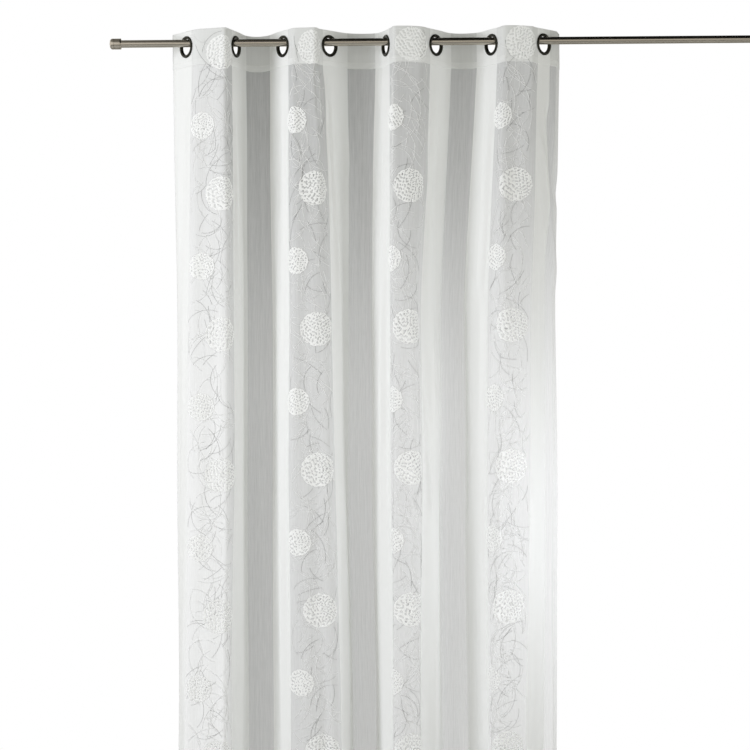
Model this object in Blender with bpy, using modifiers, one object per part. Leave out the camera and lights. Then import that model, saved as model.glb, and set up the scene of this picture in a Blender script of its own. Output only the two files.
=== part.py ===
"""A sheer voile curtain that hangs by eight eyelets from a round metal rod with two end caps.

Metres, +Z up. The origin is on the rod's axis at the middle of its length, +X runs along the rod and the
front of the curtain faces -Y. The curtain is described by its plan section at a few heights: the cloth
crosses the rod's plane at each eyelet, and turns back in a fold between each two eyelets. The flat length
of cloth between two eyelets is the same at every height.
"""

import math

import bmesh
import bpy
import numpy as np

# The rod and its caps
ROD_LENGTH = 1.800  # over the caps
ROD_DIAMETER = 0.019
CAP_DIAMETER = 0.0275
CAP_LENGTH = 0.029
CAP_DOME = 0.0115  # the rounded part of a cap's length
CAP_SOCKET = 0.015  # how far the rod goes into a cap
ROD_SIDES = 24

# The curtain, as sewn and laid flat
FLAT_WIDTH = 1.400
FLAT_HEIGHT = 2.400
SIDE_MARGIN = 0.063  # from a side edge to the first eyelet's centre
EYELETS = 8
PITCH = (FLAT_WIDTH - 2 * SIDE_MARGIN) / (EYELETS - 1)
TOP = 0.030  # the top edge, above the rod's axis
HEADING_HEIGHT = 0.090
HEADING_THICKNESS = 0.002
PANEL_THICKNESS = 0.0012
GAP = 0.0003  # between pieces that meet
FACET = 0.030  # the heading is flat this far to each side of an eyelet's centre

# The eyelets
EYELET_RADIUS = 0.0275
EYELET_BORE = 0.020
NECK_RADIUS = 0.0217
HOLE_RADIUS = 0.0226
EYELET_DROP = 0.0092  # centre below the rod's axis, so that the bore's top rests over the rod
EYELET_SIDES = 20
EYELET_HALF = 0.0033  # half of the eyelet's thickness at its neck

# Heights of the plan sections
LEVELS = (-0.0603, -0.65, -1.10, -1.65, -2.37)
# A row for each crossing of the rod's plane: x at each level, then the slant from face on at each level, degrees
CROSSINGS = (
    ((-0.706, -0.717, -0.722, -0.729, -0.736), (51, 66, 70, 76, 76)),
    ((-0.583, -0.581, -0.583, -0.594, -0.602), (70, 68, 69, 62, 62)),
    ((-0.463, -0.463, -0.471, -0.469, -0.472), (54, 52, 57, 56, 58)),
    ((-0.347, -0.334, -0.329, -0.319, -0.318), (46, 56, 63, 67, 66)),
    ((-0.203, -0.211, -0.212, -0.212, -0.215), (70, 52, 48, 56, 55)),
    ((-0.079, -0.108, -0.108, -0.117, -0.121), (51, 46, 50, 56, 55)),
    ((0.0625, 0.031, 0.027, 0.032, 0.033), (58, 44, 50, 70, 70)),
    ((0.193, 0.173, 0.169, 0.159, 0.151), (46, 40, 32, 24, 26)),
)
# A row for each fold between two crossings, front and back in turn: where its face begins and ends, as shares
# of the cloth between the crossings, and how far the face turns from the rod's line in degrees; first at the
# heading, then from the second level down
FOLDS = (
    ((0.25, 0.67, 20), (0.15, 0.71, 14)),
    ((0.40, 0.58, -6), (0.33, 0.67, 0)),
    ((0.25, 0.66, 2), (0.25, 0.75, 0)),
    ((0.44, 0.62, -6), (0.36, 0.64, 0)),
    ((0.31, 0.72, -6), (0.34, 0.66, 0)),
    ((0.36, 0.66, -14), (0.38, 0.62, 0)),
    ((0.30, 0.75, -2), (0.45, 0.84, -14)),
)
# The share of the cloth over which a fold's side turns into its face, at the heading, then from the second
# level down: front folds, then back folds
TURNS = ((0.16, 0.28), (0.32, 0.28))
# The share held flat beside a crossing: at the heading, then from the second level down
HELD_FLAT = (FACET / PITCH, 0.0)
# Columns of the mesh inside one fold, as shares of the cloth from one crossing to the next
FOLD_COLUMNS = (0, 0.165, 0.23, 0.30, 0.37, 0.44, 0.50, 0.56, 0.63, 0.70, 0.77, 0.835)
PANEL_ROWS = (-0.0603, -0.16, -0.30, -0.47, -0.65, -0.87, -1.10, -1.37, -1.65, -1.90, -2.13, TOP - FLAT_HEIGHT)


def clear_scene():
    for old in list(bpy.data.objects):
        bpy.data.objects.remove(old, do_unlink=True)


def new_collection(name, hidden=False):
    collection = bpy.data.collections.new(name)
    bpy.context.scene.collection.children.link(collection)
    collection.hide_render = hidden
    return collection


def material(name, colour, roughness, metallic=0.0):
    made = bpy.data.materials.new(name)
    made.use_nodes = True
    shader = made.node_tree.nodes["Principled BSDF"]
    shader.inputs["Base Color"].default_value = (*colour, 1.0)
    shader.inputs["Roughness"].default_value = roughness
    shader.inputs["Metallic"].default_value = metallic
    return made


def add_object(name, mesh, collection, made_of=None):
    piece = bpy.data.objects.new(name, mesh)
    collection.objects.link(piece)
    if made_of:
        mesh.materials.append(made_of)
    return piece


def smooth_step(share):
    share = np.clip(share, 0.0, 1.0)
    return share * share * (3.0 - 2.0 * share)


def at_height(values, height):
    """A column of the tables at one height, straight between the levels."""
    return float(np.interp(-height, [-level for level in LEVELS], values))


def fold_angles(share, side_in, side_out, fold, steepness):
    """The cloth's direction along one fold: one side, the face, the other side, each turning softly."""
    begins, ends, face, turn, flat = fold
    free = smooth_step((share - flat) / turn)
    free_back = smooth_step((1.0 - flat - share) / turn)
    enter = smooth_step((share - begins) / turn + 0.5)
    leave = smooth_step((share - ends) / turn + 0.5)
    going_in = side_in * (1.0 + (steepness - 1.0) * free)
    going_out = side_out * (1.0 + (steepness - 1.0) * free_back)
    return going_in * (1.0 - enter) + face * enter * (1.0 - leave) - going_out * leave


def fold_section(span, side_in, side_out, fold, samples=121):
    """(share, x, depth) along one fold of the given span: the sides' steepness is the one that uses up the cloth."""
    share = np.linspace(0.0, 1.0, samples)
    step = PITCH / (samples - 1)
    low, high = 0.2, 88.0 / max(side_in, side_out)
    for _ in range(40):
        steepness = 0.5 * (low + high)
        angles = np.radians(fold_angles(share, side_in, side_out, fold, steepness))
        angles = 0.5 * (angles[1:] + angles[:-1])
        if np.sum(np.cos(angles)) * step > span:
            low = steepness
        else:
            high = steepness
    x = np.concatenate(([0.0], np.cumsum(np.cos(angles)))) * step
    depth = np.concatenate(([0.0], np.cumsum(np.sin(angles)))) * step
    flat = fold[4]
    drift = np.interp(share, (flat, 1.0 - flat), (0.0, 1.0))
    return share, x + (span - x[-1]) * drift, depth - depth[-1] * drift


def section(height):
    """Points (x, y) of the cloth's middle surface at one height, one for each column from left to right."""
    crossing_x = [at_height(xs, height) for xs, _ in CROSSINGS]
    slants = [at_height(angles, height) for _, angles in CROSSINGS]
    lower = smooth_step((LEVELS[0] - height) / (LEVELS[0] - LEVELS[1]))
    first, last = np.radians(slants[0]), np.radians(slants[-1])
    points = []
    for reach in (SIDE_MARGIN, 0.5 * (SIDE_MARGIN + FACET), FACET):
        points.append((crossing_x[0] - reach * math.cos(first), reach * math.sin(first)))
    for number, (upper_fold, lower_fold) in enumerate(FOLDS):
        turn = TURNS[number % 2]
        upper, under = (*upper_fold, turn[0], HELD_FLAT[0]), (*lower_fold, turn[1], HELD_FLAT[1])
        fold = [a + (b - a) * lower for a, b in zip(upper, under)]
        span = crossing_x[number + 1] - crossing_x[number]
        share, x, depth = fold_section(span, slants[number], slants[number + 1], fold)
        towards_front = -1.0 if number % 2 == 0 else 1.0
        for column in FOLD_COLUMNS:
            across = crossing_x[number] + float(np.interp(column, share, x))
            points.append((across, towards_front * float(np.interp(column, share, depth))))
    for reach in (0.0, FACET, 0.5 * (SIDE_MARGIN + FACET), SIDE_MARGIN):
        points.append((crossing_x[-1] + reach * math.cos(last), reach * math.sin(last)))
    return points


def cloth(name, sections, thickness, collection, made_of):
    """A sheet lofted through (height, section) rows, top row first, and thickened evenly to both sides."""
    columns = len(sections[0][1])
    vertices = [(x, y, height) for height, points in sections for x, y in points]
    faces = []
    for row in range(len(sections) - 1):
        for column in range(columns - 1):
            here = row * columns + column
            faces.append((here, here + columns, here + columns + 1, here + 1))
    mesh = bpy.data.meshes.new(name)
    mesh.from_pydata(vertices, [], faces)
    mesh.shade_smooth()
    piece = add_object(name, mesh, collection, made_of)
    wall = piece.modifiers.new("Thickness", "SOLIDIFY")
    wall.thickness = thickness
    wall.offset = 0.0
    return piece


def turned(name, profile, sides, collection, made_of, closed=True):
    """A profile of (radius, height) points turned about Z. It runs down the outer side first."""
    mesh = bpy.data.meshes.new(name)
    edges = [(i, i + 1) for i in range(len(profile) - 1)]
    if closed:
        edges.append((len(profile) - 1, 0))
    mesh.from_pydata([(radius, 0.0, height) for radius, height in profile], edges, [])
    piece = add_object(name, mesh, collection, made_of)
    screw = piece.modifiers.new("Turn", "SCREW")
    screw.steps = sides
    screw.render_steps = sides
    screw.use_merge_vertices = True
    screw.merge_threshold = 0.00001
    return piece


def eyelet_place(number):
    """Where an eyelet sits, and how it is turned so that its own +Z points to the cloth's front."""
    xs, angles = CROSSINGS[number]
    slant = math.radians(angles[0]) * (1 if number % 2 == 0 else -1)
    return (xs[0], 0.0, -EYELET_DROP), (math.pi / 2, 0.0, -slant)


def build_heading(collection, cutters, made_of):
    points = section(LEVELS[0])
    rows = [(TOP, points), (TOP - HEADING_HEIGHT, points)]
    heading = cloth("heading_band", rows, HEADING_THICKNESS, collection, made_of)
    for number in range(EYELETS):
        mesh = bpy.data.meshes.new(f"hole_{number + 1}")
        shape = bmesh.new()
        bmesh.ops.create_cone(
            shape,
            cap_ends=True,
            segments=EYELET_SIDES,
            radius1=HOLE_RADIUS,
            radius2=HOLE_RADIUS,
            depth=10 * HEADING_THICKNESS,
        )
        shape.to_mesh(mesh)
        shape.free()
        cutter = add_object(f"hole_{number + 1}", mesh, cutters)
        cutter.location, cutter.rotation_euler = eyelet_place(number)
        cutter.hide_render = True
        cutter.display_type = "WIRE"
        cut = heading.modifiers.new(f"Hole {number + 1}", "BOOLEAN")
        cut.operation = "DIFFERENCE"
        cut.solver = "EXACT"
        cut.object = cutter


def build_panel(collection, made_of):
    rows = [(height, section(height)) for height in PANEL_ROWS]
    cloth("curtain_panel", rows, PANEL_THICKNESS, collection, made_of)


def build_eyelets(collection, made_of):
    face = HEADING_THICKNESS / 2 + GAP
    front = (
        (EYELET_RADIUS - 0.0035, face + 0.0023),
        (EYELET_RADIUS, face + 0.0010),
        (EYELET_RADIUS - 0.0003, face),
        (NECK_RADIUS, face),
        (NECK_RADIUS, -EYELET_HALF),
        (EYELET_BORE + 0.0005, -EYELET_HALF),
        (EYELET_BORE, -EYELET_HALF + 0.0008),
        (EYELET_BORE, face + 0.0010),
    )
    back = (
        (EYELET_RADIUS - 0.0003, -face),
        (EYELET_RADIUS, -face - 0.0008),
        (EYELET_RADIUS - 0.0030, -EYELET_HALF),
        (NECK_RADIUS + GAP, -EYELET_HALF),
        (NECK_RADIUS + GAP, -face),
    )
    for number in range(EYELETS):
        for half, profile in (("front", front), ("back", back)):
            ring = turned(f"eyelet_{half}_{number + 1}", profile, EYELET_SIDES, collection, made_of)
            ring.location, ring.rotation_euler = eyelet_place(number)


def build_rod(collection, made_of):
    inner_end = ROD_LENGTH / 2 - CAP_LENGTH + CAP_SOCKET
    mesh = bpy.data.meshes.new("rod")
    shape = bmesh.new()
    bmesh.ops.create_cone(
        shape,
        cap_ends=True,
        segments=ROD_SIDES,
        radius1=ROD_DIAMETER / 2,
        radius2=ROD_DIAMETER / 2,
        depth=2 * inner_end,
    )
    shape.to_mesh(mesh)
    shape.free()
    rod = add_object("rod", mesh, collection, made_of)
    rod.rotation_euler = (0.0, math.pi / 2, 0.0)


def build_caps(collection, made_of):
    radius = CAP_DIAMETER / 2
    socket = ROD_DIAMETER / 2 + GAP
    straight = CAP_LENGTH - CAP_DOME
    dome = []
    for step in range(5):
        angle = math.radians(18.0 * (5 - step))
        dome.append((radius * math.cos(angle), straight + CAP_DOME * math.sin(angle)))
    dome[0] = (0.0, CAP_LENGTH)
    inside = ((radius, straight), (radius, 0.0), (socket, 0.0), (socket, CAP_SOCKET + GAP), (0.0, CAP_SOCKET + GAP))
    for name, side in (("end_cap_left", -1), ("end_cap_right", 1)):
        cap = turned(name, (*dome, *inside), ROD_SIDES, collection, made_of, closed=False)
        cap.location = (side * (ROD_LENGTH / 2 - CAP_LENGTH), 0.0, 0.0)
        cap.rotation_euler = (0.0, side * math.pi / 2, 0.0)


clear_scene()
curtain = new_collection("sheer_voile_curtain")
cutters = new_collection("cutters", hidden=True)
voile = material("white_voile", (0.83, 0.84, 0.81), 0.85)
doubled = material("doubled_heading", (0.86, 0.87, 0.84), 0.8)
gunmetal = material("gunmetal", (0.06, 0.06, 0.065), 0.25, 1.0)
nickel = material("satin_nickel", (0.45, 0.43, 0.40), 0.35, 1.0)
build_heading(curtain, cutters, doubled)
build_panel(curtain, voile)
build_eyelets(curtain, gunmetal)
build_rod(curtain, nickel)
build_caps(curtain, nickel)
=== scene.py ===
# A sheer voile curtain on a round metal rod: the finished looks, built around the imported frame.
# Metres, +Z up, the rod along X with its axis through the origin, the curtain's front towards -Y.
import math

import bpy
import numpy as np
from mathutils import Matrix, Vector


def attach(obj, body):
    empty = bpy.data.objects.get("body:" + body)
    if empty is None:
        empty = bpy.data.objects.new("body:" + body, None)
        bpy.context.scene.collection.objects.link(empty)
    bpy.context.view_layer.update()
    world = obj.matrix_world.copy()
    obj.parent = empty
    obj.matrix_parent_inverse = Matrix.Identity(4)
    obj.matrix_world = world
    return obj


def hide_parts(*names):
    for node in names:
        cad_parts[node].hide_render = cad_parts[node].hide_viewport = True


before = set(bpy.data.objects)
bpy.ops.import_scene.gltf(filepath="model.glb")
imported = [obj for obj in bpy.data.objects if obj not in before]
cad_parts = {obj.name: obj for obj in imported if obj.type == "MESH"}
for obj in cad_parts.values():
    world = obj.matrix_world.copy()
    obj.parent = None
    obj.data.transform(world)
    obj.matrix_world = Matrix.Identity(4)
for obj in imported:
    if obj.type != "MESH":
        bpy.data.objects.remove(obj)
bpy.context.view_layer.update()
scene = bpy.context.scene

# The hang, as the frame's solids have it
hang = {
    "flatWidth": 1.400,
    "top": 0.030,
    "bottom": -2.370,
    "headingHeight": 0.090,
    "sideMargin": 0.063,
    "pitch": 0.182,  # flat cloth between two eyelets
    "facet": 0.030,  # held flat beside an eyelet
    "eyeletDrop": 0.0092,
    "levels": (-0.0603, -0.65, -1.10, -1.65, -2.37),
    "levelRounding": 0.1,  # length over which a column turns from one level's slope to the next
    "steepest": 88.0,  # degrees from face on that no side goes past
    # x at each level, then the slant from face on in degrees, for each crossing of the rod's plane
    "crossings": (
        ((-0.706, -0.717, -0.722, -0.729, -0.736), (51, 66, 70, 76, 76)),
        ((-0.583, -0.581, -0.583, -0.594, -0.602), (70, 68, 69, 62, 62)),
        ((-0.463, -0.463, -0.471, -0.469, -0.472), (54, 52, 57, 56, 58)),
        ((-0.347, -0.334, -0.329, -0.319, -0.318), (46, 56, 63, 67, 66)),
        ((-0.203, -0.211, -0.212, -0.212, -0.215), (70, 52, 48, 56, 55)),
        ((-0.079, -0.108, -0.108, -0.117, -0.121), (51, 46, 50, 56, 55)),
        ((0.0625, 0.031, 0.027, 0.032, 0.033), (58, 44, 50, 70, 70)),
        ((0.193, 0.173, 0.169, 0.159, 0.151), (46, 40, 32, 24, 26)),
    ),
    # where a fold's face begins and ends, and its turn in degrees: at the heading, then below it
    "folds": (
        ((0.25, 0.67, 20), (0.15, 0.71, 14)),
        ((0.40, 0.58, -6), (0.33, 0.67, 0)),
        ((0.25, 0.66, 2), (0.25, 0.75, 0)),
        ((0.44, 0.62, -6), (0.36, 0.64, 0)),
        ((0.31, 0.72, -6), (0.34, 0.66, 0)),
        ((0.36, 0.66, -14), (0.38, 0.62, 0)),
        ((0.30, 0.75, -2), (0.45, 0.84, -14)),
    ),
    # share of the cloth over which sides turn into faces at the heading and below: front folds, back folds
    "turns": ((0.16, 0.28), (0.32, 0.28)),
    # how sharp each fold's two corners are, as shares of that turn: at the heading, then below it
    "corners": (
        ((1.0, 0.40), (0.9, 0.22)),
        ((1.0, 1.0), (1.0, 1.0)),
        ((1.0, 0.8), (0.7, 0.8)),
        ((1.0, 1.0), (1.0, 1.0)),
        ((0.7, 1.0), (0.5, 0.9)),
        ((1.0, 1.0), (1.0, 1.0)),
        ((1.0, 0.25), (0.35, 0.8)),
    ),
    # the top edge between eyelets: flat place, half width, how far it dips
    "dips": (
        (0.336, 0.080, 0.0045),
        (0.882, 0.070, -0.002),
        (1.064, 0.080, 0.0025),
        (1.246, 0.070, -0.002),
        (1.400, 0.012, 0.006),
    ),
    "dipsEnd": (-0.35, 0.29),  # the height where a dip has died away, and the length over which it does
    "wavesStart": (-0.07, 0.25),  # the same for the slow waves, which grow downwards
    "creaseFade": 0.22,  # share of a crease's length over which either end fades
    "rowStep": 0.010,
    "foldSteps": 56,
    "marginSteps": 18,
}
# Soft creases: flat place and height where each starts and ends, half its width, how far it stands forward
creases = (
    # across, height, across, height, half width, forward
    (0.553, -0.050, 0.556, -0.235, 0.0045, 0.0045),
    (0.545, -0.050, 0.547, -0.200, 0.0050, -0.0030),
    (0.829, -0.050, 0.826, -0.640, 0.0045, 0.0042),
    (0.843, -0.050, 0.842, -0.560, 0.0050, 0.0039),
    (0.836, -0.050, 0.834, -0.600, 0.0040, -0.0036),
    (0.262, -0.060, 0.266, -2.300, 0.0130, 0.0045),
    (0.284, -0.060, 0.286, -1.500, 0.0090, -0.0027),
    (0.408, -0.300, 0.414, -2.300, 0.0150, 0.0045),
    (0.622, -0.060, 0.626, -2.200, 0.0140, 0.0051),
    (0.650, -0.060, 0.646, -1.300, 0.0100, -0.0033),
    (0.770, -0.060, 0.766, -2.300, 0.0150, 0.0045),
    (0.955, -0.250, 1.006, -1.120, 0.0140, 0.0070),
    (0.985, -0.180, 1.026, -0.900, 0.0120, -0.0050),
    (0.968, -0.070, 0.985, -0.330, 0.0100, 0.0045),
    (0.640, -0.070, 0.668, -0.360, 0.0110, 0.0042),
    (0.596, -0.070, 0.574, -0.240, 0.0080, 0.0030),
    (0.470, -0.080, 0.492, -0.420, 0.0100, 0.0033),
    (1.000, -1.000, 1.004, -2.370, 0.0200, 0.0120),
    (1.046, -0.950, 1.050, -2.370, 0.0180, -0.0130),
    (1.090, -1.050, 1.094, -2.370, 0.0170, 0.0050),
    (0.962, -0.860, 0.986, -1.220, 0.0060, 0.0055),
    (0.590, -0.050, 0.592, -0.520, 0.0040, 0.0036),
    (0.601, -0.050, 0.604, -0.460, 0.0045, -0.0030),
    (0.610, -0.060, 0.616, -0.700, 0.0050, 0.0033),
    (0.240, -0.060, 0.244, -0.900, 0.0060, 0.0036),
    (0.228, -0.060, 0.228, -0.700, 0.0035, -0.0027),
    (0.944, -0.060, 0.950, -0.420, 0.0050, 0.0033),
    (0.420, -0.080, 0.432, -0.900, 0.0090, 0.0039),
    (0.788, -0.200, 0.776, -1.100, 0.0090, 0.0039),
    (1.158, -0.080, 1.150, -0.700, 0.0090, 0.0045),
    (1.120, -0.100, 1.136, -1.400, 0.0150, 0.0045),
    (1.326, -0.200, 1.400, -0.640, 0.0110, 0.0110),
    (1.352, -0.140, 1.402, -0.430, 0.0090, -0.0080),
    (1.330, -0.700, 1.346, -1.500, 0.0180, 0.0035),
    (0.110, -0.500, 0.104, -1.600, 0.0160, 0.0033),
    (0.178, -0.120, 0.184, -0.700, 0.0140, 0.0039),
    (0.500, -0.900, 0.512, -2.300, 0.0180, 0.0048),
    (0.560, -1.300, 0.556, -2.370, 0.0120, 0.0036),
    (0.540, -1.450, 0.538, -2.370, 0.0090, -0.0036),
    (0.868, -0.700, 0.872, -1.900, 0.0120, 0.0036),
    (1.222, -0.900, 1.214, -2.200, 0.0160, 0.0045),
    (1.276, -0.350, 1.284, -1.200, 0.0140, 0.0042),
)

# Slow unevenness of soft hanging cloth: long sine waves over the flat sheet
waves = (
    # height, length across, length down, phase
    (0.0011, 0.071, 1.90, 0.6),
    (0.0008, 0.043, -1.10, 2.1),
    (0.0009, 0.118, 0.83, 4.0),
)


# Three times the square less twice the cube, of a share held between 0 and 1
def smoothStep(share):
    share = np.clip(share, 0.0, 1.0)
    return share * share * (3.0 - 2.0 * share)


# A column of the hang's tables at each height: straight between the levels, then averaged over a short way
def alongLevels(values, heights):
    straight = np.interp(-heights, [-level for level in hang["levels"]], values)
    reach = int(hang["levelRounding"] / hang["rowStep"])
    window = np.hanning(2 * reach + 3)[1:-1]
    padded = np.pad(straight, reach, mode="edge")
    rounded = np.convolve(padded, window / window.sum(), mode="valid")
    belowFirst = (hang["levels"][0] - heights) / hang["levelRounding"]
    return straight + (rounded - straight) * smoothStep(belowFirst)


# One fold at every height: the cloth's direction is one side's slant, then the face's, then the other
# side's, each turning softly; x and depth are the running sums of its cosine and sine, and the sides'
# steepness is found by halving, so that the fold uses up the cloth between the two crossings
def foldSections(span, sideIn, sideOut, fold):
    steps = hang["foldSteps"]
    share = (np.arange(steps) + 0.5)[None, :] / steps
    begins, ends, face, turn, flat, enterTurn, leaveTurn = [part[:, None] for part in fold]
    sideIn, sideOut, span = sideIn[:, None], sideOut[:, None], span[:, None]
    free = smoothStep((share - flat) / turn)
    freeBack = smoothStep((1.0 - flat - share) / turn)
    enter = smoothStep((share - begins) / enterTurn + 0.5)
    leave = smoothStep((share - ends) / leaveTurn + 0.5)
    step = hang["pitch"] / steps
    low, high = np.full_like(span, 0.2), hang["steepest"] / np.maximum(sideIn, sideOut)
    for _ in range(34):
        steepness = 0.5 * (low + high)
        goingIn = sideIn * (1.0 + (steepness - 1.0) * free)
        goingOut = sideOut * (1.0 + (steepness - 1.0) * freeBack)
        angles = np.radians(goingIn * (1.0 - enter) + face * enter * (1.0 - leave) - goingOut * leave)
        wide = (np.cos(angles).sum(1, keepdims=True) * step) > span
        low, high = np.where(wide, steepness, low), np.where(wide, high, steepness)
    start = np.zeros_like(span)
    x = np.hstack((start, np.cumsum(np.cos(angles), axis=1) * step))
    depth = np.hstack((start, np.cumsum(np.sin(angles), axis=1) * step))
    edge = np.linspace(0.0, 1.0, steps + 1)[None, :]
    drift = np.clip((edge - flat) / (1.0 - 2.0 * flat), 0.0, 1.0)
    return x + (span - x[:, -1:]) * drift, depth - depth[:, -1:] * drift


# The cloth's middle surface: flat places across, and x and y at each height and flat place
def planSections(heights):
    crossingX = [alongLevels(xs, heights) for xs, _ in hang["crossings"]]
    slants = [alongLevels(angles, heights) for _, angles in hang["crossings"]]
    lower = smoothStep((hang["levels"][0] - heights) / (hang["levels"][0] - hang["levels"][1]))
    margin = np.linspace(1.0, 0.0, hang["marginSteps"] + 1)[None, :-1] * hang["sideMargin"]
    first, last = np.radians(slants[0])[:, None], np.radians(slants[-1])[:, None]
    xs = [crossingX[0][:, None] - margin * np.cos(first)]
    ys = [margin * np.sin(first)]
    across = [hang["sideMargin"] - margin[0]]
    for number, (upper, under) in enumerate(hang["folds"]):
        (softUpper, softUnder), sharp = hang["turns"][number % 2], hang["corners"][number]
        upper = (*upper, softUpper, hang["facet"] / hang["pitch"], *(softUpper * part for part in sharp[0]))
        under = (*under, softUnder, 0.0, *(softUnder * part for part in sharp[1]))
        fold = [a + (b - a) * lower for a, b in zip(upper, under)]
        span = crossingX[number + 1] - crossingX[number]
        x, depth = foldSections(span, slants[number], slants[number + 1], fold)
        towardsFront = -1.0 if number % 2 == 0 else 1.0
        xs.append(crossingX[number][:, None] + x[:, :-1])
        ys.append(towardsFront * depth[:, :-1])
        start = hang["sideMargin"] + number * hang["pitch"]
        across.append(start + np.arange(hang["foldSteps"]) * hang["pitch"] / hang["foldSteps"])
    backMargin = np.hstack((np.zeros((1, 1)), hang["sideMargin"] - margin[:, 1:], [[hang["sideMargin"]]]))
    xs.append(crossingX[-1][:, None] + backMargin * np.cos(last))
    ys.append(backMargin * np.sin(last))
    across.append(hang["flatWidth"] - hang["sideMargin"] + backMargin[0])
    return np.concatenate(across), np.hstack(xs), np.hstack(ys)


# Unit normals of a grid of points, towards the front: the cross product of its row and column directions
def gridNormals(points):
    alongRow = np.gradient(points, axis=1)
    downColumn = np.gradient(points, axis=0)
    normals = np.cross(downColumn, alongRow)
    return normals / np.linalg.norm(normals, axis=2, keepdims=True)


# How far the creases push the cloth forward: each is a raised cosine across its line, fading at both ends
def creaseRelief(across, heights):
    relief = np.zeros((len(heights), len(across)))
    for startAcross, startHeight, endAcross, endHeight, halfWidth, forward in creases:
        along = (startHeight - heights[:, None]) / (startHeight - endHeight)
        middle = startAcross + (endAcross - startAcross) * along
        away = np.abs(across[None, :] - middle) / (2.0 * halfWidth)
        hump = np.where(away < 1.0, 0.5 + 0.5 * np.cos(np.pi * np.minimum(away, 1.0)), 0.0)
        fade = smoothStep(along / hang["creaseFade"]) * smoothStep((1.0 - along) / hang["creaseFade"])
        relief += forward * hump * np.where((along > 0) & (along < 1), fade, 0.0)
    return relief


# The sum of the slow waves, growing from nothing below the heading
def slowWaves(across, heights):
    s, z = across[None, :], heights[:, None]
    total = 0.0
    for high, wide, down, phase in waves:
        total = total + high * np.sin(2 * math.pi * (s / wide + z / down) + phase)
    start, over = hang["wavesStart"]
    return total * smoothStep((start - z) / over)


print("hang: working out the folds")
rowCount = int(round((hang["top"] - hang["bottom"]) / hang["rowStep"])) + 1
heights = np.linspace(hang["top"], hang["bottom"], rowCount)
across, planX, planY = planSections(heights)
clothPoints = np.dstack((planX, planY, np.repeat(heights[:, None], len(across), axis=1)))
forward = creaseRelief(across, heights) + slowWaves(across, heights)
clothPoints += gridNormals(clothPoints) * forward[..., None]
dipsEnd, dipsOver = hang["dipsEnd"]
for middle, half, dip in hang["dips"]:
    hump = 0.5 + 0.5 * np.cos(math.pi * np.clip(np.abs(across - middle) / half, 0.0, 1.0))
    clothPoints[..., 2] -= dip * hump * smoothStep((heights[:, None] - dipsEnd) / dipsOver)
clothNormals = gridNormals(clothPoints)


# Points that lie on the cloth, and its normals there, from flat place and height: the grid's cell, blended
def onCloth(s, z):
    column = np.clip(np.interp(s, across, np.arange(len(across))), 0, len(across) - 1.001)
    row = np.clip((hang["top"] - z) / hang["rowStep"], 0, rowCount - 1.001)
    c, r = column.astype(int), row.astype(int)
    cPart, rPart = (column - c)[..., None], (row - r)[..., None]

    def blended(grid):
        upper = grid[r, c] * (1 - cPart) + grid[r, c + 1] * cPart
        lower = grid[r + 1, c] * (1 - cPart) + grid[r + 1, c + 1] * cPart
        return upper * (1 - rPart) + lower * rPart

    return blended(clothPoints), blended(clothNormals)


# An sRGB hex value as linear red, green, blue and alpha
def linearColour(hexText):
    channels = [int(hexText[i : i + 2], 16) / 255 for i in (1, 3, 5)]
    linear = [c / 12.92 if c <= 0.04045 else ((c + 0.055) / 1.055) ** 2.4 for c in channels]
    return (*linear, 1.0)


# Adds a node: settings are its properties, inputs are values or the sockets that feed them
def addNode(tree, kind, inputs=None, **settings):
    node = tree.nodes.new(kind)
    for name, value in settings.items():
        setattr(node, name, value)
    for name, value in (inputs or {}).items():
        if isinstance(value, bpy.types.NodeSocket):
            tree.links.new(value, node.inputs[name])
        else:
            node.inputs[name].default_value = value
    return node


# Adds a chain of nodes from rows of a result's name, an operation and what it works on: numbers and names
# of earlier results. SMOOTHSTEP and LINEAR carry a value from one range over to another
def addSums(tree, results, rows, clamped=()):
    for name, (operation, *values) in rows.items():
        values = [results[value] if isinstance(value, str) else value for value in values]
        if operation in ("SMOOTHSTEP", "LINEAR"):
            inputs = dict(zip(("Value", "From Min", "From Max", "To Min", "To Max"), values))
            node = addNode(tree, "ShaderNodeMapRange", inputs, interpolation_type=operation)
        else:
            inputs, clamp = dict(enumerate(values)), name in clamped
            node = addNode(tree, "ShaderNodeMath", inputs, operation=operation, use_clamp=clamp)
        results[name] = node.outputs[0]


# A new material, its node tree and its main shader
def newMaterial(name):
    material = bpy.data.materials.new(name)
    material.use_nodes = True
    tree = material.node_tree
    return material, tree, tree.nodes["Principled BSDF"]


# Colours a material by noise, from the first tone to the second between two values of it; returns the noise
def mottle(tree, shader, vector, scale, detail, tones):
    noise = addNode(tree, "ShaderNodeTexNoise", {"Vector": vector, "Scale": scale, "Detail": detail})
    tint = addNode(tree, "ShaderNodeValToRGB", {"Fac": noise.outputs["Fac"]})
    for element, (position, tone) in zip(tint.color_ramp.elements, tones):
        element.position, element.color = position, tone
    tree.links.new(tint.outputs["Color"], shader.inputs["Base Color"])
    return noise.outputs["Fac"]


# An object made from points and quads, its flat places in a UV map where a pattern needs them
def meshPiece(name, points, faces, material, uv=None, smooth=True):
    mesh = bpy.data.meshes.new(name)
    mesh.from_pydata(points.reshape(-1, 3).tolist(), [], faces.tolist())
    if uv is not None:
        corner = np.empty(len(mesh.loops), np.int32)
        mesh.loops.foreach_get("vertex_index", corner)
        layer = mesh.uv_layers.new(name="flat")
        layer.data.foreach_set("uv", uv.reshape(-1, 2)[corner].astype(np.float32).ravel())
    if smooth:
        mesh.shade_smooth()
    mesh.materials.append(material)
    piece = bpy.data.objects.new(name, mesh)
    scene.collection.objects.link(piece)
    return piece


# Quads of a grid of rows x columns, wound to face the front
def gridQuads(rows, columns):
    here = (np.arange(rows - 1)[:, None] * columns + np.arange(columns - 1)[None, :]).ravel()
    return np.stack((here, here + columns, here + columns + 1, here + 1), axis=1)


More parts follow.
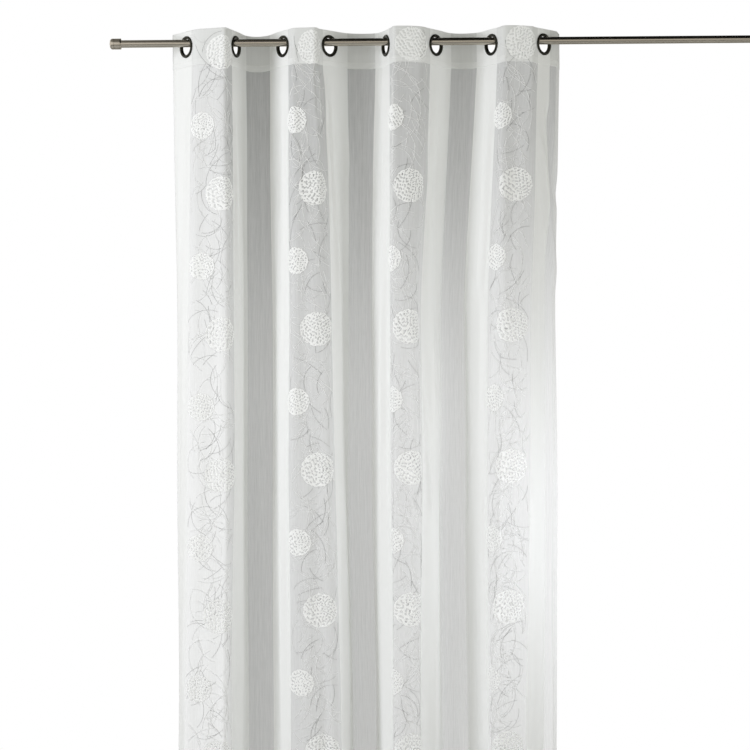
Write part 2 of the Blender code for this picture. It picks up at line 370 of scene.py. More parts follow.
# A profile of (radius, height) turned round the +Z axis, each ring joined to the next and, on a closed
# profile, the last to the first; wound so that its volume is positive, then moved by the matrix
def turnedPiece(name, profile, segments, closed, matrix, material):
    radius, height = (column[:, None] for column in np.array(profile).T)
    angle = np.arange(segments) * 2 * math.pi / segments
    turned = (radius * np.cos(angle), radius * np.sin(angle), np.repeat(height, segments, axis=1))
    points = np.stack(turned, axis=2).reshape(-1, 3)
    lower = np.arange(len(profile) if closed else len(profile) - 1)[:, None] * segments
    upper = (lower + segments) % len(points)
    turn = np.arange(segments)
    after = (turn + 1) % segments
    loop = (lower + turn, lower + after, upper + after, upper + turn)
    quads = np.stack([corner.ravel() for corner in loop], axis=1)
    corners = points[quads]
    volume = (corners[:, 0] * np.cross(corners[:, 1], corners[:, 2])).sum()
    volume += (corners[:, 0] * np.cross(corners[:, 2], corners[:, 3])).sum()
    if volume < 0:
        quads = quads[:, ::-1]
    placed = points @ np.array(matrix.to_3x3()).T + np.array(matrix.translation)
    return meshPiece(name, placed, quads, material)


# An arc of profile points about a centre, from one angle to another in degrees
def arcPoints(centreRadius, centreHeight, reach, start, end, count):
    angle = np.radians(np.linspace(start, end, count))
    return [(centreRadius + reach * math.cos(a), centreHeight + reach * math.sin(a)) for a in angle]


# How near each place on the cloth is to an eyelet's centre
def fromEyelets(s, z):
    return np.hypot(s[..., None] - eyeletAcross, z[..., None] + hang["eyeletDrop"]).min(axis=-1)


# What the frame has to know of a piece: its body and the nodes that it stands in for
def finishPiece(piece, nodes):
    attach(piece, "root")
    if nodes:
        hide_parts(*nodes)


stripes = {
    "repeat": 0.364,  # one woven repeat across, from worked stripe to worked stripe
    "firstCentre": 0.154,  # middle of the first worked stripe, from the left edge
    "workedHalf": 0.068,
    "satinEnd": 0.149,  # where satin meets the plain sheer, from the worked stripe's middle
    "edgeSheer": 1.362,  # the last plain sheer stripe runs from here to the right edge
    "softness": 0.0012,
}
panelLook = {
    "yarn": "#F2F3F3",
    "satinYarn": "#F5F6F5",
    "sheerCover": 0.50,  # share of light that plain voile stops
    "workedCover": 0.60,
    "satinCover": 0.93,
    "slub": 0.055,
    "doubled": 0.55,  # share of what is left open that a second layer stops
    "sideHem": 0.012,
    "bottomHem": 0.080,
}
headingLook = {
    "yarn": "#EEEFEE",
    "satinYarn": "#F3F4F3",
    "sheerCover": 0.80,
    "workedCover": 0.88,
    "satinCover": 0.98,
    "slub": 0.05,
    "doubled": 0.55,
    "turnedEdge": 0.016,
}
# Slub yarns as noise drawn out along them; finer yarns don't show at this size
slubs = {
    # width, length, detail, place in the noise
    "fine": (0.0022, 0.0600, 2.0, 0.0),
    "broad": (0.0075, 0.3000, 1.0, 7.3),
    "wefts": (0.0300, 0.0026, 1.0, 3.1),
}


# Polyester voile, woven: leno-fine sheer stripes that let light through, denser satin stripes with a soft
# lustre, and slub yarns that run down the cloth as thin streaks. Cover is the share of light that the yarns
# stop; s and z are the cloth's own flat place across and height
def clothMaterial(name, look):
    material, tree, shader = newMaterial(name)
    flat = addNode(tree, "ShaderNodeUVMap", uv_map="flat")
    place = addNode(tree, "ShaderNodeSeparateXYZ", {"Vector": flat.outputs["UV"]})
    results = {"s": place.outputs["X"], "z": place.outputs["Y"]}
    for yarns, (width, length, detail, offset) in slubs.items():
        inputs = {"Vector": flat.outputs["UV"], "Scale": (1 / width, 1 / length, 1)}
        drawn = addNode(tree, "ShaderNodeMapping", inputs | {"Location": (0, 0, offset)})
        inputs = {"Vector": drawn.outputs["Vector"], "Scale": 1.0, "Detail": detail, "Roughness": 0.6}
        results[yarns] = addNode(tree, "ShaderNodeTexNoise", inputs).outputs["Fac"]

    soft = stripes["softness"]
    worked, satinEnd, edgeSheer = stripes["workedHalf"], stripes["satinEnd"], stripes["edgeSheer"]
    rows = {
        "shifted": ("SUBTRACT", "s", stripes["firstCentre"]),
        "away": ("PINGPONG", "shifted", stripes["repeat"] / 2),  # from the nearest worked stripe's middle
        "worked": ("SMOOTHSTEP", "away", worked - soft, worked + soft, 1.0, 0.0),
        "innerSheer": ("SMOOTHSTEP", "away", satinEnd - soft, satinEnd + soft, 0.0, 1.0),
        "edgeSheer": ("SMOOTHSTEP", "s", edgeSheer - soft, edgeSheer + soft, 0.0, 1.0),
        "sheer": ("MAXIMUM", "innerSheer", "edgeSheer"),
        "notWorked": ("SUBTRACT", 1.0, "worked"),
        "satin": ("SUBTRACT", "notWorked", "sheer"),
        "broadStreak": ("MULTIPLY", "broad", 0.38),
        "bothStreaks": ("MULTIPLY_ADD", "fine", 0.62, "broadStreak"),
        "streak": ("SMOOTHSTEP", "bothStreaks", 0.30, 0.70, -1.0, 1.0),
        "sheerCover": ("MULTIPLY", "sheer", look["sheerCover"]),
        "looseCover": ("MULTIPLY_ADD", "worked", look["workedCover"], "sheerCover"),
        "plainCover": ("MULTIPLY_ADD", "satin", look["satinCover"], "looseCover"),
        "open": ("SUBTRACT", 1.0, "plainCover"),
        "openStreak": ("MULTIPLY", "streak", "open"),
        "streakedCover": ("MULTIPLY_ADD", "openStreak", look["slub"] * 2.0, "plainCover"),
        "weft": ("SUBTRACT", "wefts", 0.5),
        "openSlub": ("MULTIPLY", "open", look["slub"]),
        "wovenCover": ("MULTIPLY_ADD", "weft", "openSlub", "streakedCover"),
    }
    if look is panelLook:
        left, right = look["sideHem"], hang["flatWidth"] - look["sideHem"]
        top = hang["bottom"] + look["bottomHem"]
        rows |= {
            "leftHem": ("SMOOTHSTEP", "s", left - soft, left + soft, 1.0, 0.0),
            "rightHem": ("SMOOTHSTEP", "s", right - soft, right + soft, 0.0, 1.0),
            "sideHems": ("MAXIMUM", "leftHem", "rightHem"),
            "lowHem": ("SMOOTHSTEP", "z", top - soft, top + soft, 1.0, 0.0),
            "doubled": ("MAXIMUM", "sideHems", "lowHem"),
        }
    else:
        top = hang["top"] - hang["headingHeight"] + look["turnedEdge"]
        rows["doubled"] = ("SMOOTHSTEP", "z", top - soft, top + soft, 1.0, 0.0)
    rows |= {
        "doubledCover": ("MULTIPLY", "open", look["doubled"]),
        "cover": ("MULTIPLY_ADD", "doubled", "doubledCover", "wovenCover"),
        "rough": ("SMOOTHSTEP", "satin", 0.0, 1.0, 0.85, 0.52),
        "broadRelief": ("MULTIPLY", "broad", 0.5),
        "relief": ("MULTIPLY_ADD", "fine", 0.7, "broadRelief"),
    }
    addSums(tree, results, rows, clamped=("satin", "cover"))
    colours = {0: results["satin"], 6: linearColour(look["yarn"]), 7: linearColour(look["satinYarn"])}
    yarn = addNode(tree, "ShaderNodeMix", colours, data_type="RGBA")
    inputs = {"Height": results["relief"], "Strength": 0.35, "Distance": 0.0009}
    bump = addNode(tree, "ShaderNodeBump", inputs)
    tree.links.new(yarn.outputs[2], shader.inputs["Base Color"])
    tree.links.new(results["cover"], shader.inputs["Alpha"])
    tree.links.new(results["rough"], shader.inputs["Roughness"])
    tree.links.new(bump.outputs["Normal"], shader.inputs["Normal"])
    shader.inputs["Sheen Weight"].default_value = 0.12
    shader.inputs["Specular IOR Level"].default_value = 0.35
    return material


print("panel: weaving the sheet")
voileWoven = clothMaterial("polyester voile, woven", panelLook)
voileDoubled = clothMaterial("polyester voile, doubled and stiffened", headingLook)
firstPanelRow = int(round(hang["headingHeight"] / hang["rowStep"]))
panelGrid = clothPoints[firstPanelRow:]
flatPlaces = np.dstack(np.meshgrid(across, heights[firstPanelRow:]))
panel = meshPiece("panelCloth", panelGrid, gridQuads(*panelGrid.shape[:2]), voileWoven, flatPlaces)
finishPiece(panel, ["curtain_panel"])

eyelet = {
    "outer": 0.0275,
    "bore": 0.0200,
    "seat": 0.0013,  # from the cloth's middle to the underside of either flange
    "sunk": 0.0002,  # how much nearer to the cloth the front flange's underside lies
    "frontCrest": 0.0024,  # reach of the front flange's rounding, towards the bore, then towards the rim
    "frontRim": 0.0025,
    "neck": 0.0217,
    "neckEnd": -0.0033,
    "neckRound": 0.0006,
    "backInner": 0.0221,
    "backCrest": 0.0011,
    "backRim": 0.0008,
    "cut": 0.0246,  # faces nearer than this to an eyelet's centre are cut out, under the flange
    "segments": 72,
    "headingThickness": 0.0014,
    "headingRows": 37,
}
print("heading: doubled strip with eight holes")
eyeletAcross = hang["sideMargin"] + hang["pitch"] * np.arange(len(hang["crossings"]))
headingHeights = np.linspace(hang["top"], hang["top"] - hang["headingHeight"], eyelet["headingRows"])
rowGrid, columnGrid = np.meshgrid(headingHeights, across, indexing="ij")
headingPoints, _ = onCloth(columnGrid, rowGrid)
headingQuads = gridQuads(len(headingHeights), len(across))
flatCorner = np.dstack((columnGrid, rowGrid)).reshape(-1, 2)
middles = flatCorner[headingQuads].mean(axis=1)
headingQuads = headingQuads[fromEyelets(middles[:, 0], middles[:, 1]) > eyelet["cut"]]
heading = meshPiece("headingCloth", headingPoints, headingQuads, voileDoubled, flatCorner)
wall = heading.modifiers.new("two layers", "SOLIDIFY")
wall.thickness = eyelet["headingThickness"]
wall.offset = 0.0
finishPiece(heading, ["heading_band"])


# Zinc die-cast ring, plated gunmetal: nearly black, with hard clean reflections and fine lighter wear
def plateMaterial():
    material, tree, shader = newMaterial("zinc ring, gunmetal plated")
    spot = addNode(tree, "ShaderNodeTexCoord").outputs["Object"]
    tones = ((0.35, linearColour("#2B2B27")), (0.75, linearColour("#474740")))
    results = {"noise": mottle(tree, shader, spot, 420.0, 4.0, tones)}
    addSums(tree, results, {"rough": ("LINEAR", "noise", 0.3, 0.7, 0.14, 0.30)})
    tree.links.new(results["rough"], shader.inputs["Roughness"])
    shader.inputs["Metallic"].default_value = 1.0
    return material


print("eyelets: front and back rings")
gunmetal = plateMaterial()
bore, outer, neck, seat = eyelet["bore"], eyelet["outer"], eyelet["neck"], eyelet["seat"]
crest, rim, rolled = eyelet["frontCrest"], eyelet["frontRim"], eyelet["neckRound"]
backCrest, backRim, under = eyelet["backCrest"], eyelet["backRim"], seat - eyelet["sunk"]
ringProfiles = {
    # radius and depth of each point, the cloth's middle at depth 0, the front positive
    "Front": arcPoints(bore + crest, seat + 0.0004, crest, 175, 90, 7)
    + arcPoints(outer - rim, seat + 0.0003, rim, 85, 0, 8)
    + [(outer - 0.0005, under), (neck + 0.0001, under)]
    + [(neck, eyelet["neckEnd"] + 0.0003), (neck - 0.0005, eyelet["neckEnd"])]
    + arcPoints(bore + rolled, eyelet["neckEnd"] + rolled, rolled, 270, 180, 4),
    "Back": [(eyelet["backInner"] + 0.0001, -seat), (outer - 0.0003, -seat)]
    + arcPoints(outer - backRim, -seat - backRim, backRim, 0, -80, 5)
    + arcPoints(eyelet["backInner"] + backCrest, -0.0023, backCrest, -80, -180, 5),
}
for number, (xs, angles) in enumerate(hang["crossings"]):
    slant = math.radians(angles[0]) * (1 if number % 2 == 0 else -1)
    facing = Matrix.Rotation(-slant, 4, "Z") @ Matrix.Rotation(math.pi / 2, 4, "X")
    matrix = Matrix.Translation((xs[0], 0.0, -hang["eyeletDrop"])) @ facing
    for half, profile in ringProfiles.items():
        ring = turnedPiece(f"eyelet{half}{number + 1}", profile, eyelet["segments"], True, matrix, gunmetal)
        finishPiece(ring, [f"eyelet_{half.lower()}_{number + 1}"])

dots = {
    "firstBelowTop": (0.049, 0.230),  # large, small, here and below
    "repeat": 0.352,
    "bandDown": (0.012, 0.0, -0.004, -0.006),  # how much lower each stripe's row hangs
    "radius": (0.0437, 0.0343),
    "aside": (0.015, -0.038),  # from the worked stripe's middle
    "bandAside": (0.008, 0.0, -0.004, -0.001),
    "strokes": ((0.0082, 0.0062), (0.0068, 0.0058)),  # from one stroke to the next: lower left, upper right
    "open": ((-0.40, -0.26), (-0.60, -0.46)),  # the higher, the wider the gaps: lower left, upper right
    "seeds": (31, 77),
    "edge": 0.970,  # mean share of the radius, then how many waves run round it, their height and phase
    "edgeWaves": ((11, 0.018, 1.0), (23, 0.012, 0.0)),
    "rim": (0.90, 0.08),  # share of the radius where the worked rim begins, and how soon it is whole
    "cells": (74, 62),
    "lift": 0.0008,
    "relief": 0.0007,
    "fromHem": 0.01,
    "fromEyelet": 0.001,
}


# Tufted yarn worked densely on the voile: matt, bright and a little rough
def tuftMaterial():
    material, tree, shader = newMaterial("viscose tuft yarn")
    spot = addNode(tree, "ShaderNodeTexCoord").outputs["Object"]
    tones = ((0.3, linearColour("#F8F9F8")), (0.7, linearColour("#FFFFFF")))
    noise = mottle(tree, shader, spot, 900.0, 3.0, tones)
    bump = addNode(tree, "ShaderNodeBump", {"Height": noise, "Strength": 0.4, "Distance": 0.0006})
    tree.links.new(bump.outputs["Normal"], shader.inputs["Normal"])
    shader.inputs["Roughness"].default_value = 0.9
    shader.inputs["Sheen Weight"].default_value = 0.2
    return material


# Winding strokes: a sum of plane waves in many directions, 0.65 to 1.55 times as long as the given width
def strokes(p, q, width, seed):
    rng = np.random.default_rng(seed)
    total = np.zeros_like(p)
    for angle, phase, longer in zip(*rng.uniform(0, 1, (3, 18))):
        along = p * math.cos(math.pi * angle) + q * math.sin(math.pi * angle)
        total += np.cos(2 * math.pi * (along / (width * (0.65 + 0.9 * longer)) + phase))
    return total / 3.0


# All dots of one size: a square grid of cells on the flat cloth, kept inside a wavy round edge and on the
# strokes, which are wide at the lower left and fine at the upper right, then laid on the folds
def dotPiece(name, which, material):
    cells, radius = dots["cells"][which], dots["radius"][which]
    line = np.linspace(-radius, radius, cells + 1)
    p, q = np.meshgrid(line, line)  # across and down from the dot's middle
    angle = np.arctan2(q, p)
    wavyEdge = dots["edge"]
    for count, high, phase in dots["edgeWaves"]:
        wavyEdge = wavyEdge + high * np.sin(count * angle + phase)
    inside = np.hypot(p, q) / (radius * wavyEdge)
    quads = gridQuads(cells + 1, cells + 1)
    fine = smoothStep((p - 0.35 * q) / (0.5 * radius) + 0.5)
    (wide, narrow), (gapWide, gapNarrow) = dots["strokes"][which], dots["open"][which]
    rimFrom, rimOver = dots["rim"]
    allPoints, allQuads = [], []
    for band in range(4):
        middle = stripes["firstCentre"] + band * stripes["repeat"] + dots["aside"][which]
        middle += dots["bandAside"][band]
        below = dots["firstBelowTop"][which] + dots["bandDown"][band]
        while hang["top"] - below > hang["bottom"] + radius + dots["fromHem"]:
            count = len(allPoints)
            wideSeed, narrowSeed = (seed + count for seed in dots["seeds"])
            pattern = strokes(p, q, wide, wideSeed) * (1 - fine) + strokes(p, q, narrow, narrowSeed) * fine
            pattern = pattern - (gapWide * (1 - fine) + gapNarrow * fine)
            pattern = pattern + 1.1 * smoothStep((inside - rimFrom) / rimOver)
            s, z = middle + p, hang["top"] - below - q
            points, normals = onCloth(s, z)
            raised = dots["lift"] + dots["relief"] * smoothStep(pattern / 1.2)
            keep = (inside.ravel()[quads].mean(axis=1) < 1.0) & (pattern.ravel()[quads].mean(axis=1) > 0)
            keep &= fromEyelets(s, z).ravel()[quads].min(axis=1) > eyelet["outer"] + dots["fromEyelet"]
            allQuads.append(quads[keep] + count * p.size)
            allPoints.append((points + normals * raised[..., None]).reshape(-1, 3))
            below += dots["repeat"]
    used, index = np.unique(np.vstack(allQuads), return_inverse=True)
    return meshPiece(name, np.vstack(allPoints)[used], index.reshape(-1, 4), material)


print("dots: large and small")
tuftYarn = tuftMaterial()
largeDots = dotPiece("largeDots", 0, tuftYarn)
smallDots = dotPiece("smallDots", 1, tuftYarn)

threads = {
    # most: how many in one repeat of a stripe; share: how much of that each stripe shows, from the left
    "white": {
        "most": 88,
        "share": (0.7, 1.0, 0.9, 1.0),
        "seed": 8,
        "middle": -0.008,
        "spread": 0.040,
        "length": (0.045, 0.150),
        "radius": 0.00056,
        "hex": "#FFFFFF",
    },
    "silver": {
        "most": 29,
        "share": (1.0, 0.8, 0.7, 0.9),
        "seed": 21,
        "middle": 0.016,
        "spread": 0.038,
        "length": (0.035, 0.100),
        "radius": 0.00026,
        "hex": "#7C7D7B",
    },
    "lean": (0.05, 1.50),
    "bend": (6.0, 22.0),  # radians of turn to a metre
    "steps": 14,
    "sides": 4,
    "half": 0.067,
    "startHalf": 0.062,
    "fromTop": 0.004,
    "fromHem": 0.012,
    "fromEyelet": 0.002,
    "lift": (0.0004, 0.0006),  # over the panel, and how much more over the thicker heading
    "liftFrom": (-0.068, 0.008),  # the height where that begins, and the length over which it rises
}
stitches = {
    "length": 0.0028,
    "gap": 0.0012,
    "radius": 0.00028,
    "inset": 0.0025,
    "fromEdge": 0.004,
    "fromTop": 0.003,
    "lift": (0.0002, 0.0006),
    "liftFrom": (-0.062, 0.003),
    "hex": "#F4F4F1",
}


# Loose threads of one colour down one stripe: each is an arc of its own bend, lean and length
def threadArcs(look, band):
    rng = np.random.default_rng(look["seed"] + band)
    drop = hang["top"] - hang["bottom"]
    count, steps = int(look["most"] * look["share"][band] * drop / dots["repeat"]), threads["steps"]
    startAcross = rng.normal(look["middle"], look["spread"], count)
    startAcross = np.clip(startAcross, -threads["startHalf"], threads["startHalf"])
    startDown = (np.arange(count) + rng.uniform(0.1, 0.9, count)) / count * drop
    lean = rng.choice([-1, 1], count) * rng.uniform(*threads["lean"], count)
    bend = rng.choice([-1, 1], count) * rng.uniform(*threads["bend"], count)
    length = rng.uniform(*look["length"], count)
    along = np.linspace(-0.5, 0.5, steps)[None, :] * length[:, None]
    direction = lean[:, None] + bend[:, None] * along
    step = length[:, None] / (steps - 1)
    p = startAcross[:, None] + np.cumsum(np.sin(direction) * step, axis=1)
    q = startDown[:, None] + np.cumsum(np.cos(direction) * step, axis=1)
    return p, q


# Thin tubes along paths on the cloth: a ring of a few points about each path point, joined to the next
def tubesOnCloth(name, s, z, radius, layer, material):
    sides, (count, steps) = threads["sides"], s.shape
    (lift, more), (start, over) = layer["lift"], layer["liftFrom"]
    ringAngle = np.arange(sides) * 2 * math.pi / sides
    points, normals = onCloth(s, z)
    points = points + normals * (lift + more * smoothStep((z - start) / over))[..., None]
    tangent = np.gradient(points, axis=1)
    tangent /= np.linalg.norm(tangent, axis=2, keepdims=True)
    outward, sideways = normals[:, :, None], np.cross(tangent, normals)[:, :, None]
    rings = np.cos(ringAngle)[:, None] * outward + np.sin(ringAngle)[:, None] * sideways
    rings = points[:, :, None] + radius * rings
    base = (np.arange(count)[:, None, None] * steps + np.arange(steps - 1)[None, :, None]) * sides
    turn = np.arange(sides)[None, None, :]
    after = (turn + 1) % sides
    loop = (base + turn, base + after, base + sides + after, base + sides + turn)
    quads = np.stack([corner.ravel() for corner in loop], axis=1)
    return meshPiece(name, rings.reshape(-1, 3), quads, material)


# Threads of one colour in all four stripes, kept inside the stripe and the hems and clear of the eyelets
def threadPiece(name, look, material):
    arcs = [threadArcs(look, band) for band in range(4)]
    middles = stripes["firstCentre"] + stripes["repeat"] * np.arange(4)
    s = np.vstack([middle + p for middle, (p, _) in zip(middles, arcs)])
    z = hang["top"] - np.vstack([q for _, q in arcs])
    aside = np.abs(np.vstack([p for p, _ in arcs])).max(axis=1)
    clear = fromEyelets(s, z).min(axis=1)
    keep = (aside < threads["half"]) & (clear > eyelet["outer"] + threads["fromEyelet"])
    keep &= z.max(axis=1) < hang["top"] - threads["fromTop"]
    keep &= z.min(axis=1) > hang["bottom"] + threads["fromHem"]
    return tubesOnCloth(name, s[keep], z[keep], look["radius"], threads, material)


# Rows of machine stitches: short tubes end to end along each seam and hem
def stitchPiece(name, material):
    pace, inset, width = stitches["length"] + stitches["gap"], stitches["inset"], hang["flatWidth"]
    seam = hang["top"] - hang["headingHeight"] + headingLook["turnedEdge"]
    sideways = np.arange(stitches["fromEdge"], width - stitches["fromEdge"], pace)
    down = np.arange(stitches["fromTop"] - hang["top"], -hang["bottom"] - stitches["fromEdge"], pace)
    within = np.linspace(0.0, stitches["length"], 3)
    rows = (seam - inset, hang["bottom"] + panelLook["bottomHem"] - inset)
    columns = (panelLook["sideHem"] - inset, width - panelLook["sideHem"] + inset)
    s = [sideways[:, None] + within for _ in rows] + [np.full((len(down), 3), column) for column in columns]
    z = [np.full((len(sideways), 3), row) for row in rows] + [-down[:, None] - within for _ in columns]
    s, z = np.vstack(s), np.vstack(z)
    keep = fromEyelets(s, z).min(axis=1) > eyelet["outer"] + threads["fromEyelet"]
    return tubesOnCloth(name, s[keep], z[keep], stitches["radius"], stitches, material)


# Polyester thread, spun: a little darker here and there where its turns hide from the light
def threadMaterial(name, hexText, roughness):
    material, tree, shader = newMaterial(name)
    spot, base = addNode(tree, "ShaderNodeTexCoord").outputs["Object"], linearColour(hexText)
    mottle(tree, shader, spot, 160.0, 2.0, ((0.3, (*[c * 0.8 for c in base[:3]], 1.0)), (0.7, base)))
    shader.inputs["Roughness"].default_value = roughness
    return material


print("threads: white and silver")
whiteThread = threadMaterial("polyester thread, white", threads["white"]["hex"], 0.6)
silverThread = threadMaterial("polyester thread, silver grey", threads["silver"]["hex"], 0.5)
whiteThreads = threadPiece("whiteThreads", threads["white"], whiteThread)
silverThreads = threadPiece("silverThreads", threads["silver"], silverThread)
seamThread = threadMaterial("polyester sewing thread", stitches["hex"], 0.55)
seamStitches = stitchPiece("seamStitches", seamThread)
for piece in (largeDots, smallDots, whiteThreads, silverThreads, seamStitches):
    finishPiece(piece, [])

rod = {
    "length": 1.800,
    "radius": 0.0095,
    "tubeInset": 0.014,  # the tube stops this far short of the caps' ends
    "capRadius": 0.01375,
    "capLength": 0.029,
    "capPlay": 0.0003,  # between the tube and the cap's mouth
    "mouthRound": 0.0012,
    "grooves": ((0.0030, 0.0033, 0.0038, 0.0041), (0.0165, 0.0169, 0.0175, 0.0179)),  # from the mouth
    "grooveDepth": 0.0005,
    "noseRound": 0.0070,
    "pole": 0.00001,  # radius of the ring that closes an end
    "sharp": 40,  # degrees between faces past which an edge stays sharp
    "segments": 64,
}


# Steel tube, nickel plated and drawn through a fine abrasive: soft lines along it, a warm grey
def nickelMaterial():
    material, tree, shader = newMaterial("steel tube, satin nickel")
    spot = addNode(tree, "ShaderNodeTexCoord").outputs["Object"]
    drawn = addNode(tree, "ShaderNodeMapping", {"Vector": spot, "Scale": (6.0, 1400.0, 1400.0)})
    tones = ((0.3, linearColour("#B6AFA4")), (0.7, linearColour("#CCC5BA")))
    results = {"noise": mottle(tree, shader, drawn.outputs["Vector"], 1.0, 3.0, tones)}
    addSums(tree, results, {"rough": ("LINEAR", "noise", 0.25, 0.75, 0.15, 0.23)})
    inputs = {"Height": results["noise"], "Strength": 0.04, "Distance": 0.0002}
    bump = addNode(tree, "ShaderNodeBump", inputs)
    tree.links.new(results["rough"], shader.inputs["Roughness"])
    tree.links.new(bump.outputs["Normal"], shader.inputs["Normal"])
    shader.inputs["Metallic"].default_value = 1.0
    return material


print("rod: tube and caps")
nickel = nickelMaterial()
tubeEnd, pole = rod["length"] / 2 - rod["tubeInset"], rod["pole"]
tube = [(pole, -tubeEnd), (rod["radius"], -tubeEnd), (rod["radius"], tubeEnd), (pole, tubeEnd)]
capR, capL, mouth, nose = rod["capRadius"], rod["capLength"], rod["mouthRound"], rod["noseRound"]
insets = (0.0, rod["grooveDepth"], rod["grooveDepth"], 0.0)
cap = (
    [(rod["radius"] + rod["capPlay"], 0.0), (capR - mouth - 0.0004, 0.0)]
    + arcPoints(capR - mouth, mouth, mouth, -80, 0, 5)
    + [(capR - inset, height) for groove in rod["grooves"] for inset, height in zip(insets, groove)]
    + arcPoints(capR - nose, capL - nose - 0.0008, nose, 2, 70, 10)
    + [(0.0040, capL - 0.0002), (pole, capL)]
)
rodParts = (
    # name, profile, where it starts along the rod, which way it faces, node
    ("rodTube", tube, 0.0, 1, "rod"),
    ("endCapLeft", cap, rod["length"] / 2 - capL, -1, "end_cap_left"),
    ("endCapRight", cap, rod["length"] / 2 - capL, 1, "end_cap_right"),
)
for name, profile, start, side, node in rodParts:
    matrix = Matrix.Translation((side * start, 0, 0)) @ Matrix.Rotation(side * math.pi / 2, 4, "Y")
    piece = turnedPiece(name, profile, rod["segments"], False, matrix, nickel)
    piece.data.set_sharp_from_angle(angle=math.radians(rod["sharp"]))
    finishPiece(piece, [node])

view = {"x": -0.238, "z": -0.839, "distance": 5.0, "width": 1.89, "roll": 0.45}
floorLook = {"hex": "#EDEDEB", "front": -5.0, "back": 3.0, "reach": 5.0, "belowHem": 0.02}
print("studio: floor, lights, camera")


# Painted board: matt, with a faint unevenness of roller marks
def floorPaint():
    material, tree, shader = newMaterial("painted board, rolled")
    spot, base = addNode(tree, "ShaderNodeTexCoord").outputs["Object"], linearColour(floorLook["hex"])
    mottle(tree, shader, spot, 3.0, 3.0, ((0.0, (*[c * 0.95 for c in base[:3]], 1.0)), (1.0, base)))
    shader.inputs["Roughness"].default_value = 0.9
    return material


front, back, reach = floorLook["front"], floorLook["back"], floorLook["reach"]
corner = np.array([(-reach, front), (reach, front), (reach, back), (-reach, back)], float)
floorPoints = np.hstack((corner, np.full((4, 1), hang["bottom"] - floorLook["belowHem"])))
floor = meshPiece("floor", floorPoints, np.array([[0, 1, 2, 3]]), floorPaint(), smooth=False)

lamps = {
    # name: place, aim, width and height, watts, colour
    "keyLeft": ((-3.2, -1.7, -0.25), (-0.3, 0.0, -0.8), (1.0, 2.2), 60, "#F8F9FF"),
    "farRight": ((2.8, -1.7, -0.9), (-0.3, 0.0, -1.0), (1.0, 1.8), 20, "#FFFFFF"),
    "nearRight": ((0.50, -0.42, -1.22), (0.14, 0.0, -1.22), (0.25, 0.6), 1.5, "#F4F6FF"),
    "frontLow": ((-0.5, -1.9, -0.85), (-0.45, 0.0, -0.85), (1.2, 0.4), 2.4, "#FFFFFF"),
    "overhead": ((-0.2, -1.2, 2.2), (-0.2, -0.6, -2.3), (3.0, 3.0), 13, "#FFFFFF"),
}
for name, (place, target, size, power, tone) in lamps.items():
    lamp = bpy.data.lights.new(name, "AREA")
    lamp.shape = "RECTANGLE"
    lamp.size, lamp.size_y = size
    lamp.energy = power
    lamp.color = linearColour(tone)[:3]
    holder = bpy.data.objects.new(name, lamp)
    scene.collection.objects.link(holder)
    holder.location = place
    holder.rotation_euler = (Vector(target) - Vector(place)).to_track_quat("-Z", "Y").to_euler()
    holder.visible_glossy = False  # the metal mirrors the room's own bands instead

# The room: white where the camera looks past the curtain; where it looks through the voile, a grey of
# painted shade, lighter low and to the right as painted light, with painted light past the first fold at
# the far left; for light a dim surround, brightest at eye height; and bands for the metal to mirror,
# lighter at the left ends
room = {
    # painted shade seen through the voile: darkest at the top left, lighter low down and to the right,
    # where it is painted light
    "paintedShadeTop": (0.06, 0.24),  # left, right
    "paintedShadeAndLightLow": (0.36, 0.86),
    "throughRise": (0.17, -0.03),  # how steeply a line of sight rises where it meets the top, the low
    "throughSides": (-0.08, 0.09),
    # painted light: the first fold lit from the left, added to the painted shade seen through it
    "paintedLightFarLeft": 0.56,  # added past the first fold's right edge
    "farLeft": (-0.078, -0.069),
    "light": ("#70706A", "#C3C3BB"),  # overhead and underfoot, at eye height
    "lightFall": (0.1, 0.8),
    # what the metal mirrors, by how steeply it looks: straight down first, straight up last
    "mirrored": (
        (0.00, "#A09E97"),
        (0.30, "#A3A19A"),
        (0.42, "#DEDAD1"),
        (0.58, "#DEDAD1"),
        (0.67, "#141412"),
    ),
    "mirroredLeft": (
        (0.00, "#B0ADA7"),
        (0.30, "#B0ADA7"),
        (0.40, "#FFFCF6"),
        (0.72, "#FFFCF6"),
        (0.84, "#8E8C86"),
    ),
    "leftEnds": (-0.104, -0.090),
}
world = bpy.data.worlds.new("studio")
scene.world = world
world.use_nodes = True
sky = world.node_tree
path = addNode(sky, "ShaderNodeLightPath")
where = addNode(sky, "ShaderNodeTexCoord")
direction = addNode(sky, "ShaderNodeSeparateXYZ", {"Vector": where.outputs["Generated"]})
results = {"dx": direction.outputs["X"], "dz": direction.outputs["Z"]}
results["layers"] = path.outputs["Transparent Depth"]
rows = {
    # painted shade seen through the voile, lighter low and to the right as painted light, with painted
    # light added at the far left
    "top": ("LINEAR", "dx", *room["throughSides"], *room["paintedShadeTop"]),
    "low": ("LINEAR", "dx", *room["throughSides"], *room["paintedShadeAndLightLow"]),
    "grey": ("SMOOTHSTEP", "dz", *room["throughRise"], "top", "low"),
    "more": ("SMOOTHSTEP", "dx", *room["farLeft"], room["paintedLightFarLeft"], 0.0),
    "paintedShadeBehind": ("ADD", "grey", "more"),
    "through": ("GREATER_THAN", "layers", 0.5),
    "steep": ("ABSOLUTE", "dz"),
    "level": ("SMOOTHSTEP", "steep", *room["lightFall"], 1.0, 0.0),
    "upwards": ("LINEAR", "dz", -1.0, 1.0, 0.0, 1.0),
    "onRight": ("SMOOTHSTEP", "dx", *room["leftEnds"], 0.0, 1.0),
}
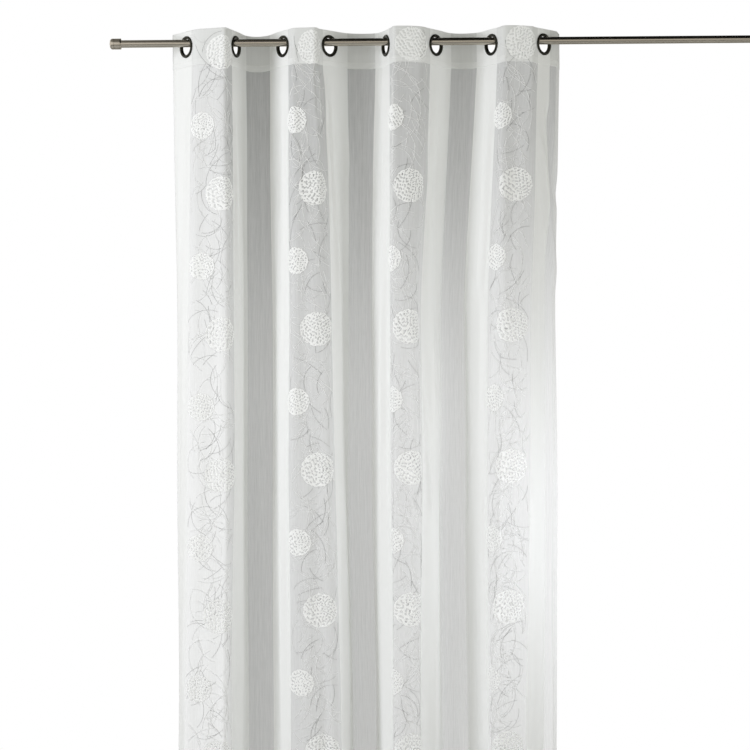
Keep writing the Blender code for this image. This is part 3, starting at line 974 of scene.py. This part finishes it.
addSums(sky, results, rows)


# One colour for each height that a reflection looks to, blended between the given ones
def mirrorRamp(shades):
    ramp = addNode(sky, "ShaderNodeValToRGB", {"Fac": results["upwards"]})
    elements = ramp.color_ramp.elements
    elements.remove(elements[1])
    for number, (position, shade) in enumerate(shades):
        if number:
            elements.new(position)
        elements[number].color = linearColour(shade)
    return ramp.outputs["Color"]


# through the voile the camera sees the painted shade and painted light; past the curtain, plain white
paintedShadeBehind = addNode(sky, "ShaderNodeBackground", {"Color": results["paintedShadeBehind"]})
plain = addNode(sky, "ShaderNodeBackground", {"Color": (1, 1, 1, 1)})
inputs = {0: results["through"], 1: plain.outputs[0], 2: paintedShadeBehind.outputs[0]}
seen = addNode(sky, "ShaderNodeMixShader", inputs)
inputs = {0: results["level"], 6: linearColour(room["light"][0]), 7: linearColour(room["light"][1])}
soft = addNode(sky, "ShaderNodeMix", inputs, data_type="RGBA")
inputs = {0: results["onRight"], 6: mirrorRamp(room["mirroredLeft"]), 7: mirrorRamp(room["mirrored"])}
mirrored = addNode(sky, "ShaderNodeMix", inputs, data_type="RGBA")
inputs = {0: path.outputs["Is Glossy Ray"], 6: soft.outputs[2], 7: mirrored.outputs[2]}
lit = addNode(sky, "ShaderNodeMix", inputs, data_type="RGBA")
background = sky.nodes["Background"]
sky.links.new(lit.outputs[2], background.inputs["Color"])
inputs = {0: path.outputs["Is Camera Ray"], 1: background.outputs[0], 2: seen.outputs[0]}
mixed = addNode(sky, "ShaderNodeMixShader", inputs)
sky.links.new(mixed.outputs[0], sky.nodes["World Output"].inputs["Surface"])

camera = bpy.data.cameras.new("camera")
camera.sensor_width = 36.0
camera.lens = camera.sensor_width * view["distance"] / view["width"]
cameraHolder = bpy.data.objects.new("camera", camera)
scene.collection.objects.link(cameraHolder)
upright = Matrix.Rotation(math.pi / 2, 4, "X") @ Matrix.Rotation(math.radians(-view["roll"]), 4, "Z")
cameraHolder.matrix_world = Matrix.Translation((view["x"], -view["distance"], view["z"])) @ upright
scene.camera = cameraHolder
scene.view_settings.view_transform = "Standard"
scene.cycles.transparent_max_bounces = 24
